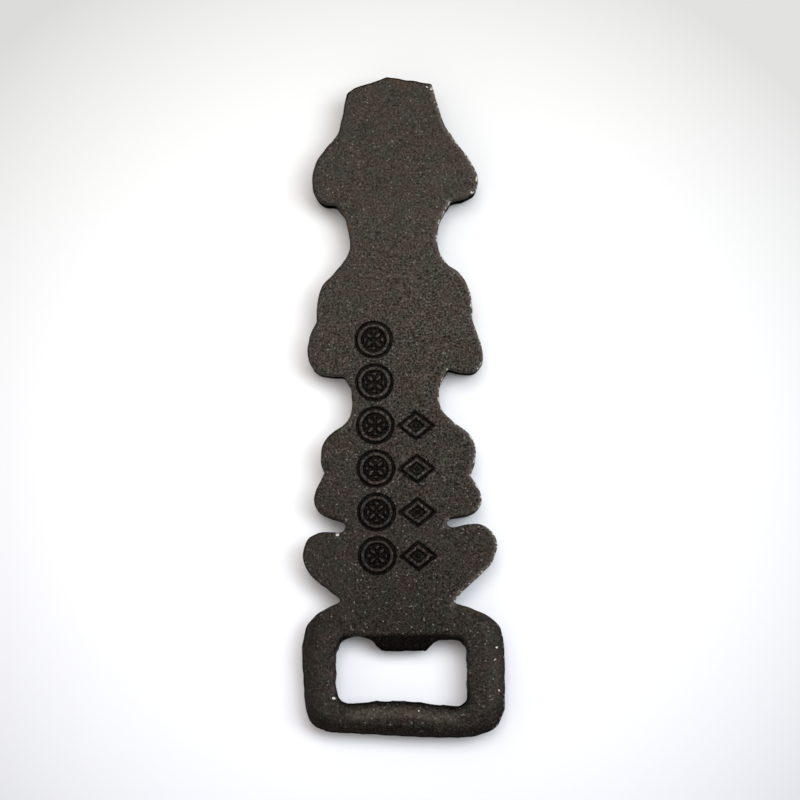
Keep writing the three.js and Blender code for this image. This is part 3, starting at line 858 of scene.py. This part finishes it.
def iron_material():
    """Blackened cast iron: a dark sandy skin with painted glints, mottled warm and cool, under what covers it
    and under painted highlight and painted shade.
    """
    material = bpy.data.materials.new("cast_iron_skin")
    nodes = Nodes(material, "Object")
    shader = nodes.nodes["Principled BSDF"]
    coarse = coarseness(nodes)
    skin = nodes.colour_mix(nodes.pattern(*MOTTLES), IRON_WARM, IRON_COOL)
    colour = nodes.vector("SCALE", skin, skin_brightness(nodes, coarse), "Vector")
    # painted glints, strongest where the grain is coarse
    colour = nodes.colour_mix(nodes.maths("MULTIPLY", painted_glints(nodes), coarse), colour, GLINT)
    # painted highlight along the right-hand edges and on the far bar's crest
    painted_highlight = nodes.maths("MULTIPLY", nodes.painted("painted_highlight"), nodes.pattern(*HIGHLIGHT_PATCHES))
    colour = nodes.colour_mix(painted_highlight, colour, HIGHLIGHT_COLOUR)
    rust = nodes.maths("MULTIPLY", nodes.painted("rust"), nodes.pattern(*RUST_SPOTS))
    colour = nodes.colour_mix(rust, colour, RUST)
    # bare metal in the chips, and painted glints along the right-hand edges
    chips_and_glints = nodes.maths("MULTIPLY", nodes.painted("chips_and_glints"), nodes.pattern(*CHIP_GLINT_SPOTS))
    colour = nodes.colour_mix(nodes.ramp(chips_and_glints, *CHIP_GLINT_EDGE, 0, 1), colour, CHIP_AND_GLINT_COLOUR)
    # painted shade darkens the colour where shade falls
    painted_shade = nodes.painted("painted_shade")
    nodes.link(nodes.colour_mix(painted_shade, colour, PAINTED_SHADE_COLOUR), shader.inputs["Base Color"])
    nodes.link(nodes.pattern(*GLOSS), shader.inputs["Roughness"])
    # where the painted shade lies the skin turns fully metallic, which darkens it at grazing angles too
    nodes.link(nodes.ramp(painted_shade, 0, ALL_SHADED, METALLIC, METALLIC_SHADED), shader.inputs["Metallic"])
    shader.inputs["Specular Tint"].default_value = IRON_EDGE
    bump = nodes.add("ShaderNodeBump", Strength=1.0, Distance=BUMP_HEIGHT)
    nodes.link(nodes.maths("MULTIPLY", nodes.noise(*BUMPS), coarse), bump.inputs["Height"])
    nodes.link(bump.outputs["Normal"], shader.inputs["Normal"])
    return material


def table_material():
    """White paper with a pool of light painted on it: it darkens away from the middle, and a painted tint of
    the light makes it cooler at the front.
    """
    material = bpy.data.materials.new("white_table")
    nodes = Nodes(material, "Object")
    shader = nodes.nodes["Principled BSDF"]
    away = nodes.vector("DISTANCE", nodes.place, TABLE_MIDDLE, "Value")
    level = nodes.maths("MULTIPLY_ADD", nodes.maths("POWER", away, 2.0), -TABLE_FADE, 1.0)
    level = nodes.maths("MAXIMUM", level, TABLE_FLOOR)
    tint = nodes.colour_mix(nodes.ramp(nodes.axis("Y"), *TABLE_TURNS, 0, 1), TABLE_FRONT, TABLE_BACK)
    nodes.link(nodes.vector("SCALE", tint, level, "Vector"), shader.inputs["Base Color"])
    shader.inputs["Roughness"].default_value = TABLE_ROUGHNESS
    shader.inputs["Specular IOR Level"].default_value = TABLE_SPECULAR
    return material


# ---------------------------------------------------------------- stage, light and camera, in metres
VIEW_TARGET = Vector((0.27, 0.68, 3.5)) * MM
VIEW_ELEVATION = 80  # degrees above the table
VIEW_ROLL = 1.05  # degrees that the opener leans to the left in the view
VIEW_DISTANCE = 0.6
NEAREST_SEEN = 0.01
LENS = 127.3  # mm
SENSOR = 36  # mm

ROOM_LIGHT = 0.465  # radiance of the room straight above,
ROOM_LEAN = (-0.44, 0, 0)  # and how much it rises from there towards +X, +Y and +Z
ROOM_COLOUR = (1, 0.92, 0.84, 1)
ROOM_SEEN = (0.9, 0.9, 0.9, 1)  # its colour where the camera looks straight at it
SOFTBOXES = {  # azimuth and elevation in degrees, power in watts, colour
    "softbox_right": (5, 57, 8.4, (0.94, 1, 1.04)),
    "softbox_above": (85, 75, 6.9, (1, 0.96, 0.955)),
}
SOFTBOX_DISTANCE = 1.2
SOFTBOX_SIZE = 0.7


def build_table():
    mesh = bpy.data.meshes.new("table")
    corners = [(x * TABLE_HALF, y * TABLE_HALF, 0) for x, y in ((-1, -1), (1, -1), (1, 1), (-1, 1))]
    mesh.from_pydata(corners, [], [(0, 1, 2, 3)])
    table = bpy.data.objects.new("table", mesh)
    table.data.materials.append(table_material())
    bpy.context.scene.collection.objects.link(table)


def add_softbox(name, azimuth, elevation, power, colour):
    light = bpy.data.lights.new(name, "AREA")
    light.shape = "SQUARE"
    light.size = SOFTBOX_SIZE
    light.energy = power
    light.color = colour
    turn, lift = math.radians(azimuth), math.radians(elevation)
    towards = Vector((math.cos(turn) * math.cos(lift), math.sin(turn) * math.cos(lift), math.sin(lift)))
    lamp = bpy.data.objects.new(name, light)
    lamp.location = towards * SOFTBOX_DISTANCE
    lamp.rotation_euler = (-towards).to_track_quat("-Z", "Y").to_euler()
    bpy.context.scene.collection.objects.link(lamp)


def build_world():
    """The light of the room: brightest towards -X, nearly dark towards +X. To the camera it looks pale."""
    world = bpy.data.worlds.new("room")
    nodes = Nodes(world, "Generated")
    lean = nodes.vector("DOT_PRODUCT", nodes.place, ROOM_LEAN, "Value")
    level = nodes.maths("MAXIMUM", nodes.maths("ADD", lean, ROOM_LIGHT), 0.0)
    lit = nodes.nodes["Background"]
    lit.inputs["Color"].default_value = ROOM_COLOUR
    nodes.link(level, lit.inputs["Strength"])
    pale = nodes.add("ShaderNodeBackground", Color=ROOM_SEEN)
    seen = nodes.add("ShaderNodeMixShader")
    nodes.link(nodes.add("ShaderNodeLightPath").outputs["Is Camera Ray"], seen.inputs["Fac"])
    nodes.link(lit.outputs["Background"], seen.inputs[1])
    nodes.link(pale.outputs["Background"], seen.inputs[2])
    nodes.link(seen.outputs["Shader"], nodes.nodes["World Output"].inputs["Surface"])
    bpy.context.scene.world = world


def build_lights():
    build_world()
    for name, settings in SOFTBOXES.items():
        add_softbox(name, *settings)


def build_camera():
    camera = bpy.data.cameras.new("view")
    camera.sensor_width = SENSOR
    camera.lens = LENS
    camera.clip_start = NEAREST_SEEN
    eye = bpy.data.objects.new("view", camera)
    elevation = math.radians(VIEW_ELEVATION)
    eye.location = VIEW_TARGET + VIEW_DISTANCE * Vector((0, -math.cos(elevation), math.sin(elevation)))
    tilt = Matrix.Rotation(math.radians(90 - VIEW_ELEVATION), 4, "X")
    roll = Matrix.Rotation(math.radians(-VIEW_ROLL), 4, "Z")
    eye.rotation_euler = (tilt @ roll).to_euler()
    bpy.context.scene.collection.objects.link(eye)
    bpy.context.scene.camera = eye


build_camera()
build_lights()
build_table()
opener = build_casting()
opener.data.materials.append(iron_material())
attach(opener, "root")
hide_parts(NODE)
bpy.context.scene.view_settings.view_transform = "Standard"
